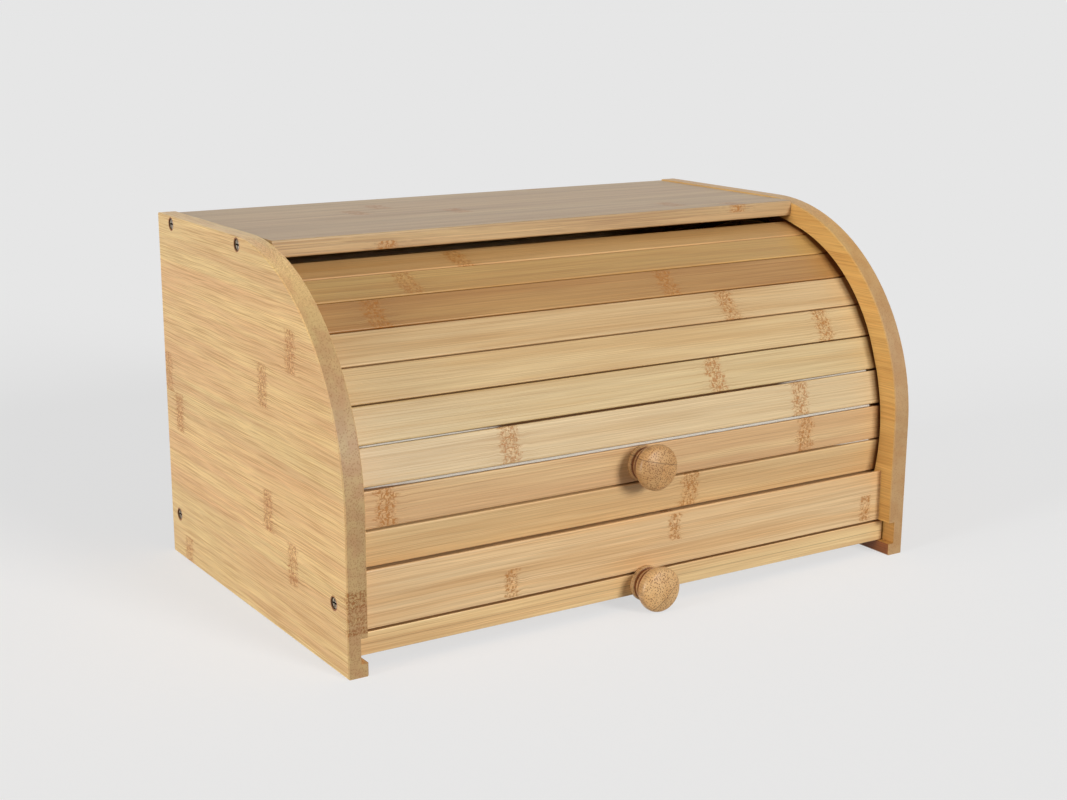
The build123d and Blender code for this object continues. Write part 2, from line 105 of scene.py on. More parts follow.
class Network:
    """Adds nodes to one node tree."""

    def __init__(self, tree):
        self.tree = tree

    def add(self, kind, **settings):
        node = self.tree.nodes.new("ShaderNode" + kind)
        for name, value in settings.items():
            setattr(node, name, value)
        return node

    def feed(self, socket, value):
        """Wires an output to a socket, or writes a number, vector or colour in it."""
        if isinstance(value, bpy.types.NodeSocket):
            self.tree.links.new(value, socket)
        else:
            socket.default_value = value

    def math(self, operation, *values, clamp=False):
        node = self.add("Math", operation=operation, use_clamp=clamp)
        for socket, value in zip(node.inputs, values):
            self.feed(socket, value)
        return node.outputs[0]

    def product(self, first, second, clamp=False):
        return self.math("MULTIPLY", first, second, clamp=clamp)

    def swing(self, value, size):
        """Turns a random value near 0.5 into a shift to either side, up to half of size."""
        return self.product(self.math("SUBTRACT", value, 0.5), size)

    def split(self, vector):
        node = self.add("SeparateXYZ")
        self.feed(node.inputs[0], vector)
        return node.outputs[0], node.outputs[1], node.outputs[2]

    def join(self, x, y, z):
        node = self.add("CombineXYZ")
        for socket, value in zip(node.inputs, (x, y, z)):
            self.feed(socket, value)
        return node.outputs[0]

    def vector(self, operation, first, second, output=0):
        node = self.add("VectorMath", operation=operation)
        self.feed(node.inputs[0], first)
        self.feed(node.inputs[1], second)
        return node.outputs[output]

    def times(self, vector, factors):
        """Multiplies a vector by a vector, part by part."""
        return self.vector("MULTIPLY", vector, factors)

    def plus(self, vector, other):
        return self.vector("ADD", vector, other)

    def brighten(self, colour, factor):
        """Multiplies a colour by a number."""
        node = self.add("VectorMath", operation="SCALE")
        self.feed(node.inputs[0], colour)
        self.feed(node.inputs["Scale"], factor)
        return node.outputs[0]

    def fade(self, value, start, end):
        """0 at start and 1 at end, smooth in between.  start may be above end."""
        node = self.add("MapRange", interpolation_type="SMOOTHSTEP")
        for name, given in (("Value", value), ("From Min", start), ("From Max", end)):
            self.feed(node.inputs[name], given)
        return node.outputs[0]

    def noise(self, vector, detail=2.0):
        """Soft random values near 0.5, one blob to each unit of the vector."""
        node = self.add("TexNoise")
        self.feed(node.inputs["Vector"], vector)
        self.feed(node.inputs["Scale"], 1.0)
        self.feed(node.inputs["Detail"], detail)
        return node.outputs["Fac"]

    def dice(self, vector):
        """A random number from 0 to 1 for each different vector."""
        node = self.add("TexWhiteNoise", noise_dimensions="3D")
        self.feed(node.inputs["Vector"], vector)
        return node.outputs["Value"]

    def cells(self, vector):
        """Distance to the nearest of many scattered points, and that point's random number."""
        node = self.add("TexVoronoi")
        self.feed(node.inputs["Vector"], vector)
        self.feed(node.inputs["Scale"], 1.0)
        lottery, _, _ = self.split(node.outputs["Color"])
        return node.outputs["Distance"], lottery

    def mix(self, factor, first, second):
        node = self.add("Mix", data_type="RGBA")
        self.feed(node.inputs["Factor"], factor)
        self.feed(node.inputs[6], first)         # 6 and 7 are the two colours of this node
        self.feed(node.inputs[7], second)
        return node.outputs[2]

    def use(self, group, **given):
        """Places a node group.  Underscores in the given names stand for spaces."""
        node = self.add("Group", node_tree=group)
        for name, value in given.items():
            self.feed(node.inputs[name.replace("_", " ")], value)
        return node


print("network helpers:", len([name for name in vars(Network) if not name.startswith("_")]))

# %% Groups and materials, each with its network
SOCKETS = {"number": "NodeSocketFloat", "vector": "NodeSocketVector", "colour": "NodeSocketColor"}


def new_group(name, inputs, outputs):
    """An empty node group with named sockets: its tree, its network, its inputs and its end."""
    tree = bpy.data.node_groups.new(name, "ShaderNodeTree")
    for label, kind in inputs.items():
        tree.interface.new_socket(name=label, in_out="INPUT", socket_type=SOCKETS[kind])
    for label, kind in outputs.items():
        tree.interface.new_socket(name=label, in_out="OUTPUT", socket_type=SOCKETS[kind])
    start = tree.nodes.new("NodeGroupInput")
    end = tree.nodes.new("NodeGroupOutput")
    return tree, Network(tree), start.outputs, end.inputs


def new_material(name):
    """A material with its network, its main shader and the coordinates of the piece."""
    material = bpy.data.materials.new(name)
    material.use_nodes = True
    network = Network(material.node_tree)
    shader = material.node_tree.nodes["Principled BSDF"]
    place = network.add("TexCoord").outputs
    return material, network, shader, place


def add_bump(network, shader, height, distance):
    """Turns a height from 0 to 1 into fine relief that deep, in metres."""
    bump = network.add("Bump")
    network.feed(bump.inputs["Height"], height)
    network.feed(bump.inputs["Distance"], distance)
    network.feed(shader.inputs["Normal"], bump.outputs[0])


print("kinds of socket:", list(SOCKETS))

# %% [markdown]
# ## Floor, background and light
#
# The box stands on a pale sweep in soft daylight-like studio light.  Three things could give the
# pale ground: much light on a white floor, which would burn out the wood, a bright backdrop, or
# a floor whose own colour is lifted only where the camera (or a shiny surface) sees it.  The
# last one is used, so that the wood is lit at a plain level.
#
# The lamps are wide suns: parallel light keeps the floor even as far as one sees, and their
# width gives shadows a soft edge.  One comes low from the left and lights the left side panel.
# The other comes from the front, a little from the right, and throws the knobs' shadows to the
# left.  Each lamp's strength is written as the share of a white surface's brightness that it
# gives when it shines straight on it.

# %% Lamps
AMBIENT = 0.25                  # strength of the sky all round
BACKDROP = tone(230, 230, 230)[0]
FLOOR_PALENESS = 0.32           # share of the light that the floor really throws back
SUNS = {                        # turn, height, width in degrees, and share
    "left_light": (-86, 10, 20, 0.61),
    "right_light": (16, 18, 18, 0.68),
}


def add_sun(name, turn, height, width, share):
    lamp = bpy.data.lights.new(name, "SUN")
    lamp.energy = share * pi
    lamp.angle = radians(width)
    sun = bpy.data.objects.new(name, lamp)
    scene.collection.objects.link(sun)
    towards = Vector((sin(radians(turn)) * cos(radians(height)),
                      -cos(radians(turn)) * cos(radians(height)), sin(radians(height))))
    sun.rotation_mode = "QUATERNION"
    sun.rotation_quaternion = towards.to_track_quat("Z", "Y")


for name, (turn, height, width, share) in SUNS.items():
    add_sun(name, turn, height, width, share)

light_on_floor = AMBIENT + sum(share * sin(radians(height)) for _, height, _, share in SUNS.values())
print("light on the floor:", round(light_on_floor, 3))

# %% World
def seen_directly(network):
    """1 where the camera, a reflection or a see-through surface looks, 0 for scattered light."""
    path = network.add("LightPath").outputs
    shiny = network.math("MAXIMUM", path["Is Glossy Ray"], path["Is Transmission Ray"])
    return network.math("MAXIMUM", path["Is Camera Ray"], shiny)


world = bpy.data.worlds.new("studio")
scene.world = world
world.use_nodes = True
sky = Network(world.node_tree)
sky_shader = world.node_tree.nodes["Background"]
level = sky.add("MapRange")
sky.feed(level.inputs["Value"], seen_directly(sky))
sky.feed(level.inputs["To Min"], AMBIENT)
sky.feed(level.inputs["To Max"], BACKDROP)
sky.feed(sky_shader.inputs["Color"], (1, 1, 1, 1))
sky.feed(sky_shader.inputs["Strength"], level.outputs[0])
print("the backdrop shows as", round(BACKDROP, 3), "and lights as", AMBIENT)

# %% Floor
FLOOR_REACH = 30.0              # metres to each side
FLOOR_ROUGHNESS = 0.9

floor_mesh = bpy.data.meshes.new("floor")
corners = [(x, y, 0) for x, y in ((-1, -1), (1, -1), (1, 1), (-1, 1))]
floor_mesh.from_pydata([Vector(c) * FLOOR_REACH for c in corners], [], [(0, 1, 2, 3)])
floor = bpy.data.objects.new("floor", floor_mesh)
scene.collection.objects.link(floor)

floor_material, paint, floor_shader, _ = new_material("floor_paint")
paint.feed(floor_shader.inputs["Base Color"], (FLOOR_PALENESS,) * 3 + (1,))
paint.feed(floor_shader.inputs["Roughness"], FLOOR_ROUGHNESS)
paint.feed(floor_shader.inputs["Specular IOR Level"], 0.0)
paint.feed(floor_shader.inputs["Emission Color"], (1, 1, 1, 1))
lift = BACKDROP - FLOOR_PALENESS * light_on_floor
paint.feed(floor_shader.inputs["Emission Strength"], paint.product(seen_directly(paint), lift))
floor_mesh.materials.append(floor_material)
scene.view_settings.view_transform = "Standard"
print("floor lift:", round(lift, 3))

# %% [markdown]
# ## Grain coordinates
#
# Every bamboo pattern below is written for one made-up board: its first coordinate runs along
# the grain, the second across the face and the third into the depth, all in metres.  A real
# board only has to say which of its own directions those are.  On the curtain the direction
# across the face bends round a circle, so there it is the distance along the arc.

# %% Which way the grain runs
AXES = {"X": 0, "Y": 1, "Z": 2}
CURTAIN_CENTRE = (0.01935, 0.0810)       # y and z of the circle that the curtain turns on
CURTAIN_RADIUS = 0.1215                  # at the middle of a slat's thickness


def board_grain(network, place, order):
    """Grain coordinates of a board.  order "YZX" means along Y, across Z, deep in X."""
    parts = network.split(place["Object"])
    return network.join(*[parts[AXES[letter]] for letter in order])


curtain_space, net, given, result = new_group(
    "curtain_space", {"Place": "vector"}, {"Grain": "vector"})
x, y, z = net.split(given["Place"])
forward = net.math("SUBTRACT", CURTAIN_CENTRE[0], y)
upward = net.math("SUBTRACT", z, CURTAIN_CENTRE[1])
angle = net.math("ARCTAN2", upward, forward)
reach = net.math("SQRT", net.math("ADD", net.product(forward, forward), net.product(upward, upward)))
net.feed(result["Grain"], net.join(x, net.product(angle, CURTAIN_RADIUS), reach))
print("grain coordinates ready")

# %% [markdown]
# ## Growth nodes
#
# Where the bamboo stem had a joint, the veins tangle: on the strip one sees a band about 10 mm
# long and as high as the strip, full of short curled specks, and the veins beside it are darker.
# A band could be painted by a picture, but then it would repeat.  Here it is a mask round a
# chosen place (for the side panels, the rail and the slats), and a second mask scatters more of
# them, one to each strip at random, over the boards that nobody sees at once.  Each mask has a
# core, where the specks are, and a wider halo, where the veins turn darker and sway.

# %% Mask of one growth node
BORDER_WAVES = 420.0            # waves to the metre in the border of a band
CORE_BORDER = (0.60, 0.30)      # where the core starts and is full, in band lengths from the middle
HALO_BORDER = (1.7, 0.3)
BAND_ENDS = (0.52, 0.46)        # the same across the strip, in band heights


def border_drift(net, across, second, third, length):
    """Shift along the grain that makes the border of a band uneven."""
    wave = net.noise(net.join(net.product(across, BORDER_WAVES), second, third), detail=3.0)
    return net.swing(wave, length)


growth_node, net, given, result = new_group(
    "growth_node", {"Grain": "vector", "Along": "number", "Across": "number", "Length": "number",
                    "Height": "number"}, {"Core": "number", "Halo": "number"})
along, across, _ = net.split(given["Grain"])
drift = border_drift(net, across, net.product(given["Along"], 91.0), 0.0, given["Length"])
off = net.math("ABSOLUTE", net.math("SUBTRACT", net.math("ADD", along, drift), given["Along"]))
off = net.math("DIVIDE", off, given["Length"])
side = net.math("ABSOLUTE", net.math("SUBTRACT", across, given["Across"]))
inside = net.fade(net.math("DIVIDE", side, given["Height"]), *BAND_ENDS)
net.feed(result["Core"], net.product(net.fade(off, *CORE_BORDER), inside))
net.feed(result["Halo"], net.product(net.fade(off, *HALO_BORDER), inside))
print("nodes in the mask of one band:", len(growth_node.nodes))

# %% Masks of growth nodes scattered over glued strips
scattered_nodes, net, given, result = new_group(
    "scattered_nodes", {"Grain": "vector", "Strip": "number", "Layer": "number", "Spacing": "number",
                        "Length": "number", "Seed": "number"}, {"Core": "number", "Halo": "number"})
along, across, deep = net.split(given["Grain"])
row = net.math("FLOOR", net.math("DIVIDE", across, given["Strip"]))
layer = net.math("FLOOR", net.math("DIVIDE", deep, given["Layer"]))
chance = net.dice(net.join(row, layer, given["Seed"]))
drift = border_drift(net, across, chance, layer, given["Length"])
turns = net.math("ADD", net.math("DIVIDE", net.math("ADD", along, drift), given["Spacing"]), chance)
off = net.math("ABSOLUTE", net.math("SUBTRACT", net.math("FRACT", turns), 0.5))
off = net.math("DIVIDE", net.product(off, given["Spacing"]), given["Length"])
net.feed(result["Core"], net.fade(off, *CORE_BORDER))
net.feed(result["Halo"], net.fade(off, *HALO_BORDER))
print("nodes in the mask of scattered bands:", len(scattered_nodes.nodes))

# %% [markdown]
# ## Bamboo
#
# One node group holds the whole pattern, and every bamboo piece uses it with its own colours.
# Along the grain the veins are long hair-thin lines, so they are a noise that is stretched, on
# a board sixty times or more, and cut off at its peaks: a bold one, a thin one and a pale one,
# over a still finer one that makes the face look planed.  On a cut end the same veins are dots,
# which scattered points give more cleanly, so the two are swapped where a face cuts the grain.
# Broad soft streaks and a small step in tone from strip to strip lie underneath.

# %% Bamboo pattern: where the veins run
bamboo, net, given, result = new_group(
    "bamboo",
    {"Grain": "vector", "Ground": "colour", "Streak Colour": "colour", "Vein Colour": "colour",
     "Speck Colour": "colour", "Strip": "number", "Layer": "number", "Strip Contrast": "number",
     "Streaks": "number", "Veins": "number", "Vein Spacing": "number", "Vein Length": "number",
     "Dot Spacing": "number", "Dots": "number", "Sway": "number", "Seam": "number", "End Tint": "colour",
     "Core": "number", "Halo": "number", "End": "number", "Shade And Rings": "number", "Painted Highlight": "number",
     "Seed": "number"},
    {"Color": "colour", "Roughness": "number", "Height": "number"})
shifted = net.plus(given["Grain"], net.join(net.product(given["Seed"], 1.37), 0.0, 0.0))
along, across, deep = net.split(shifted)
GENTLE_BUMPS = (22.0, 40.0, 40.0)       # to the metre: along, across, deep
NODE_BUMPS = (150.0, 190.0, 190.0)
NODE_SWAY = 0.0030                      # metres, beside a growth node


def sway(scale, size):
    """A soft sideways shift of the veins, in metres: scale is bumps to the metre."""
    return net.swing(net.noise(net.times(shifted, scale)), size)


drift = net.math("ADD", sway(GENTLE_BUMPS, given["Sway"]),
                 sway(NODE_BUMPS, net.product(given["Halo"], NODE_SWAY)))
across_bent = net.math("ADD", across, drift)
rows = net.math("DIVIDE", across, given["Strip"])
layer = net.math("FLOOR", net.math("DIVIDE", deep, given["Layer"]))
strip_dice = net.dice(net.join(net.math("FLOOR", rows), layer, given["Seed"]))
print("bamboo group so far:", len(bamboo.nodes), "nodes")

# %% Bamboo pattern: lines along the grain
vein_place = net.join(net.math("DIVIDE", along, given["Vein Length"]),
                      net.math("ADD", net.math("DIVIDE", across_bent, given["Vein Spacing"]),
                               net.product(strip_dice, 37.0)),
                      net.math("DIVIDE", deep, given["Vein Spacing"]))


def other_veins(scale, shift, detail=1.0):
    """A second set of veins: finer by scale, and shifted so that it isn't the first one again."""
    return net.noise(net.plus(net.times(vein_place, scale), shift), detail=detail)


PEAK = 0.74                     # a noise above this is a vein at full strength
BOLD_SHARE, THIN_SHARE = 0.6, 0.75
bold = net.fade(net.noise(vein_place, detail=1.0), 0.50, PEAK)
thin = net.fade(other_veins((1.5, 2.2, 2.2), (3.3, 5.1, 0.7)), 0.46, PEAK)
pale = net.fade(other_veins((0.8, 1.3, 1.3), (7.1, 2.9, 4.7)), 0.52, PEAK)
hair = other_veins((4.5, 2.9, 2.9), (1.9, 8.3, 5.5), detail=2.0)
lines = net.math("MAXIMUM", net.product(bold, BOLD_SHARE), net.product(thin, THIN_SHARE))
print("bamboo group so far:", len(bamboo.nodes), "nodes")

# %% Bamboo pattern: dots on cut ends
DOT_LENGTH = 0.03               # how far into the wood the same dot goes on, in metres
DOT_EDGE = (0.50, 0.24)         # distance from its point where a dot starts and is full
DOT_LOTTERY = (0.0, 0.3)        # the lowest numbers give faint dots
dot_place = net.join(net.math("DIVIDE", along, DOT_LENGTH),
                     net.math("DIVIDE", across, given["Dot Spacing"]),
                     net.math("DIVIDE", deep, given["Dot Spacing"]))
distance, lottery = net.cells(dot_place)
dots = net.product(net.fade(distance, *DOT_EDGE), net.fade(lottery, *DOT_LOTTERY))
dots = net.product(dots, given["Dots"])
long_face = net.math("SUBTRACT", 1.0, given["End"])
veins = net.math("ADD", net.product(lines, long_face), net.product(dots, given["End"]))
veins = net.product(veins, given["Veins"], clamp=True)
print("bamboo group so far:", len(bamboo.nodes), "nodes")

# %% Bamboo pattern: tones of the strips and the veins
BROAD_BUMPS = (5.0, 115.0)      # streaks to the metre, along and across the grain
PALE_SHARE, HAIR_SHARE = 0.10, 0.50
SEAM_EDGE = (0.00045, 0.00015)  # a glue line starts and is full, in metres from its middle
VEIN_SHARE, HALO_SHARE = 0.80, 0.35
broad = net.noise(net.join(net.product(along, BROAD_BUMPS[0]), net.product(across_bent, BROAD_BUMPS[1]),
                           net.product(deep, BROAD_BUMPS[1])), detail=3.0)
broad = net.fade(broad, 0.36, 0.66)
streak = net.product(net.math("MULTIPLY_ADD", broad, 0.75, net.product(strip_dice, 0.25)),
                     given["Streaks"], clamp=True)
colour = net.mix(streak, given["Ground"], given["Streak Colour"])
step = net.swing(strip_dice, given["Strip Contrast"])
shine = net.math("MULTIPLY_ADD", pale, PALE_SHARE, net.swing(hair, HAIR_SHARE))
shine = net.product(shine, long_face)
from_seam = net.math("ABSOLUTE", net.math("SUBTRACT", net.math("FRACT", rows), 0.5))
from_seam = net.product(net.math("SUBTRACT", 0.5, from_seam), given["Strip"])
seam = net.product(net.fade(from_seam, *SEAM_EDGE), given["Seam"])
level = net.math("SUBTRACT", net.math("ADD", net.math("ADD", step, 1.0), shine), seam)
colour = net.brighten(colour, level)
strength = net.product(veins, net.math("MULTIPLY_ADD", given["Halo"], HALO_SHARE, VEIN_SHARE), clamp=True)
colour = net.mix(strength, colour, given["Vein Colour"])
print("bamboo group so far:", len(bamboo.nodes), "nodes")

# %% Bamboo pattern: specks of the growth nodes
# the specks are short lines that are bent to and fro by a second noise, among cream spots
CURL_BUMPS = (520.0, 520.0, 520.0)
CURL_SIZE = 0.0050              # metres
SPECK_BUMPS = (560.0, 980.0)    # specks to the metre, along and across the grain
CORE_TINT, CREAM_SHARE, SPECK_SHARE = 0.20, 0.18, 0.74
curl = net.noise(net.times(shifted, CURL_BUMPS), detail=1.0)
curled = net.math("MULTIPLY_ADD", net.math("SUBTRACT", curl, 0.5), CURL_SIZE, across)
knot_place = net.join(net.product(along, SPECK_BUMPS[0]), net.product(curled, SPECK_BUMPS[1]),
                      net.product(deep, SPECK_BUMPS[0]))
knot = net.noise(knot_place, detail=1.0)
specks = net.product(net.fade(knot, 0.49, 0.59), given["Core"])
cream = net.product(net.fade(knot, 0.46, 0.36), given["Core"])
colour = net.mix(net.product(given["Core"], CORE_TINT), colour, given["Speck Colour"])
colour = net.brighten(colour, net.math("MULTIPLY_ADD", cream, CREAM_SHARE, 1.0))
colour = net.mix(net.product(specks, SPECK_SHARE), colour, given["Speck Colour"])
print("bamboo group so far:", len(bamboo.nodes), "nodes")

# %% Bamboo pattern: ends, edges, roughness and height
# cut ends soak up more lacquer and look darker; the sides of grooves and joints are painted darker
# as shade, the rings round the side screws are darker too, and rounded corners get a painted highlight
UNTINTED = (1.0, 1.0, 1.0, 1.0)
SHADE_AND_RING_TINT = (0.42, 0.22, 0.10, 1.0)
HIGHLIGHT_LIFT = 0.12
LACQUER_ROUGHNESS, VEIN_ROUGHNESS, END_ROUGHNESS = 0.40, 0.10, 0.16
VEIN_DENT = 0.6                 # as a share of a speck's dent
colour = net.times(colour, net.mix(given["End"], UNTINTED, given["End Tint"]))
# rounded corners are brightened as a painted highlight
colour = net.brighten(colour, net.math("MULTIPLY_ADD", given["Painted Highlight"], HIGHLIGHT_LIFT, 1.0))
# darker where painted shade lies, and in the rings round the side screws
colour = net.times(colour, net.mix(given["Shade And Rings"], UNTINTED, SHADE_AND_RING_TINT))
net.feed(result["Color"], colour)
rough = net.math("MULTIPLY_ADD", veins, VEIN_ROUGHNESS, LACQUER_ROUGHNESS)
net.feed(result["Roughness"], net.math("MULTIPLY_ADD", given["End"], END_ROUGHNESS, rough))
dents = net.math("MAXIMUM", net.product(veins, VEIN_DENT), specks)
net.feed(result["Height"], net.math("SUBTRACT", 1.0, dents))
print("bamboo group:", len(bamboo.nodes), "nodes")

# %% [markdown]
# ## Materials for the boards
#
# Each board gets its own material, because no two boards have the same tone and the growth nodes
# sit in different places.  The tones are written as they look in even light.  A face that cuts
# the grain is found from its normal: where the normal points along the grain, it is an end.

# %% What every bamboo finish starts from
PLAIN_LOOK = {
    "Ground": tone(232, 196, 142), "Streak Colour": tone(216, 170, 114),
    "Vein Colour": tone(168, 116, 62), "Speck Colour": tone(174, 108, 28),
    "End Tint": (0.66, 0.62, 0.54, 1.0),
    "Strip": 0.020, "Layer": 0.0051, "Strip Contrast": 0.06, "Streaks": 0.8, "Veins": 0.8, "Seam": 0.0,
    "Vein Spacing": 0.0012, "Vein Length": 0.075, "Dot Spacing": 0.0011, "Dots": 0.45, "Sway": 0.0016,
    "Seed": 0.0,
}
MARK_LENGTH = 0.013             # of a growth node, along the grain
LACQUER_SHINE, LACQUER_COAT, COAT_ROUGHNESS = 0.40, 0.15, 0.30
GRAIN_DEPTH = 0.00012
print("sizes and tones in a look:", len(PLAIN_LOOK))

# %% Masks from the way a face looks and from its place
# how squarely a face looks along a direction, from 0 to 1, where a finish starts and is full
END_FACING = (0.25, 0.95)       # along the grain: the look of a cut end
EDGE_FACING = (0.20, 0.05)      # along the show direction: the painted shade of the long edges
ROUND_FROM_FACE, ROUND_FROM_EDGE = (0.98, 0.90), (0.35, 0.60)    # the corners with a painted highlight lie between


def along_normal(network, place, direction):
    """How squarely a face looks along a direction, from 0 to 1."""
    return network.math("ABSOLUTE", network.vector("DOT_PRODUCT", place["Normal"], direction, "Value"))


def most(network, values):
    """The greatest of several values, or 0 if there are none."""
    total = 0.0
    for value in values:
        total = network.math("MAXIMUM", total, value)
    return total


def between(network, value, low, high, soft=0.0002):
    """1 between low and high, 0 outside, with a soft border, all in metres."""
    return network.product(network.fade(value, low - soft, low + soft),
                           network.fade(value, high + soft, high - soft))


print("a face shows cut ends from a squareness of", END_FACING[0], "and only them from", END_FACING[1])

# %% Function that makes a bamboo material
def bamboo_material(name, grain_of, cut_direction, look, marks=(), mark_height=0.022,
                    mark_length=MARK_LENGTH, scatter=None, facing=None, edge=0.5, cuts=None):
    """A lacquered bamboo finish.  marks are (along, across) places of growth nodes, in metres;
    facing is the direction of the show face, whose long edges get painted shade by the share edge
    and whose rounded corners get a painted highlight; the last argument masks more painted shade,
    and on a side panel also the dark rings round its screws."""
    material, network, shader, place = new_material(name)
    grain = grain_of(network, place)
    masks = [network.use(growth_node, Grain=grain, Along=along, Across=across, Length=mark_length,
                         Height=mark_height).outputs for along, across in marks]
    if scatter:
        masks.append(network.use(scattered_nodes, Grain=grain, Strip=look["Strip"], Layer=look["Layer"],
                                 Spacing=scatter, Length=mark_length, Seed=look["Seed"]).outputs)
    core = most(network, [mask["Core"] for mask in masks])
    halo = most(network, [mask["Halo"] for mask in masks])
    end = network.fade(along_normal(network, place, cut_direction), *END_FACING)
    wood = network.use(bamboo, Grain=grain, Core=core, Halo=halo, End=end)
    for label, value in look.items():
        network.feed(wood.inputs[label], value)
    dark = [cuts(network, place)] if cuts else []
    if facing:
        square = along_normal(network, place, facing)
        # painted shade on the long edges, which face each other in the joints
        dark.append(network.product(network.fade(square, *EDGE_FACING), edge))
        # a painted highlight on the rounded corners beside them
        rounded = network.product(network.fade(square, *ROUND_FROM_FACE),
                                  network.fade(square, *ROUND_FROM_EDGE))
        network.feed(wood.inputs["Painted Highlight"], rounded)
    network.feed(wood.inputs["Shade And Rings"], most(network, dark))
    network.feed(shader.inputs["Base Color"], wood.outputs["Color"])
    network.feed(shader.inputs["Roughness"], wood.outputs["Roughness"])
    network.feed(shader.inputs["Specular IOR Level"], LACQUER_SHINE)
    network.feed(shader.inputs["Coat Weight"], LACQUER_COAT)
    network.feed(shader.inputs["Coat Roughness"], COAT_ROUGHNESS)
    add_bump(network, shader, wood.outputs["Height"], GRAIN_DEPTH)
    return material


print("inputs of the bamboo pattern:",
      sum(item.in_out == "INPUT" for item in bamboo.interface.items_tree))

# %% Dressing a piece
def dress(node, material):
    """Gives a piece of the model one material in all its slots."""
    slots = nodes[node].data.materials
    if not slots:
        slots.append(material)
    for index in range(len(slots)):
        slots[index] = material


def board_material(name, order, look, **more):
    """Bamboo for a flat board whose grain order is given as for board_grain."""
    cut = [float(axis == order[0]) for axis in "XYZ"]
    return bamboo_material(name, lambda network, place: board_grain(network, place, order),
                           cut, {**PLAIN_LOOK, **look}, **more)


print("pieces to dress:", len(nodes))

# %% [markdown]
# ## Painted shade and screw rings in the side panels
#
# The side panels are cut more than the other boards.  The curved groove that the curtain runs in,
# the straight groove of the drawer and the feet below it are painted darker, as the shade that
# lies in them, and each screw has a dark ring round it in the face.  None of these follows the
# grain, so they are found by place: by the distance from the curtain's centre, by the height
# above the table, and by the distance from the nearest screw.

# %% Distance from the nearest screw
SIDE_SCREWS = [(0.11015, 0.2152), (0.00835, 0.2152), (0.11915, 0.0278), (-0.10585, 0.0383)]   # y, z

from_screw, net, given, result = new_group("from_screw", {"Place": "vector"}, {"Reach": "number"})
_, y, z = net.split(given["Place"])
nearest = 1.0                               # farther than any screw
for screw_y, screw_z in SIDE_SCREWS:
    aside = net.math("SUBTRACT", y, screw_y)
    above = net.math("SUBTRACT", z, screw_z)
    squared = net.math("ADD", net.product(aside, aside), net.product(above, above))
    nearest = net.math("MINIMUM", nearest, net.math("SQRT", squared))
net.feed(result["Reach"], nearest)
print("screws to a side:", len(SIDE_SCREWS))

# %% Masks of painted shade in grooves and on feet, and of screw rings
SIDE_FACES = (0.188, 0.200)                 # inner and outer face of a side panel
SCREW_RING = (0.0034, 0.0042)               # from the screw's middle
GROOVE_WALLS = (0.1175, 0.1325)             # from the curtain's centre
DRAWER_GROOVE = (0.0070, 0.0216)            # its height above the table
RUNNER_SHARE = 0.2                          # the drawer's groove is only a little darker
FOOT_TOP = (0.0082, 0.0074)                 # heights where the feet's dark starts and is full
REAR_EDGE = 0.131                           # just in front of the side panels' rear edges


def side_cuts(network, place):
    """Painted shade in a side panel's grooves and on its feet, and the dark rings round its screws, from 0
    to 1.
    """
    x, y, z = network.split(place["Object"])
    depth = network.math("ABSOLUTE", x)
    _, _, reach = network.split(network.use(curtain_space, Place=place["Object"]).outputs["Grain"])
    inner_face, outer_face = SIDE_FACES
    inside = between(network, depth, inner_face + 0.3 * MM, outer_face - 1.0 * MM)
    groove = network.product(between(network, reach, *GROOVE_WALLS), inside)
    groove = network.product(groove, network.fade(y, REAR_EDGE, REAR_EDGE - 2.0 * MM))
    off_the_front_edge = network.fade(along_normal(network, place, (0.0, 1.0, 0.0)), 0.6, 0.4)
    runner = network.product(between(network, z, *DRAWER_GROOVE),
                             network.product(inside, off_the_front_edge))
    on_inner_face = network.fade(depth, inner_face + 0.4 * MM, inner_face + 0.2 * MM)
    foot = network.product(on_inner_face, network.fade(z, *FOOT_TOP))
    screw = network.use(from_screw, Place=place["Object"]).outputs["Reach"]
    ring = between(network, screw, *SCREW_RING)
    return most(network, [groove, network.product(runner, RUNNER_SHARE), foot, ring])


print("thickness of a side panel:", round(SIDE_FACES[1] - SIDE_FACES[0], 4))

# %% [markdown]
# ## Boards of the box
#
# The grain runs front to back in the side panels and in the drawer's sides, and left to right in
# the other boards.  The growth nodes could all be left to chance, but those of the side panels
# and of the rail are what one knows this box by, so they are placed one by one.  The other
# boards get theirs at random, one to a strip, or none, as the narrow drawer front.

# %% Places of the growth nodes
LEFT_MARKS = [(-0.0597, 0.1660), (-0.0205, 0.1402), (0.1260, 0.1206), (0.1103, 0.0970),
              (-0.0227, 0.0679), (-0.0547, 0.0445), (0.1047, 0.0042), (-0.1265, 0.0365)]
RIGHT_MARKS = [(0.0430, 0.1880), (0.0960, 0.1660), (0.0180, 0.1400), (-0.0260, 0.1160),
               (0.0870, 0.0930), (-0.0480, 0.0690), (0.0350, 0.0460), (0.1010, 0.0220)]
RAIL_MARKS = [(-0.0920, 0.0310), (0.0213, 0.0450), (0.1753, 0.0315)]
SIDE_NODE_HEIGHT, RAIL_NODE_HEIGHT, RAIL_NODE_LENGTH = 0.025, 0.017, 0.009
print("growth nodes placed:", len(LEFT_MARKS), len(RIGHT_MARKS), len(RAIL_MARKS))

# %% Finishes of the boards
DARKER = {"Ground": tone(220, 182, 130), "Streak Colour": tone(200, 154, 100),
          "Vein Colour": tone(150, 102, 54)}
SHOW_FRONT = (0.0, 1.0, 0.0)

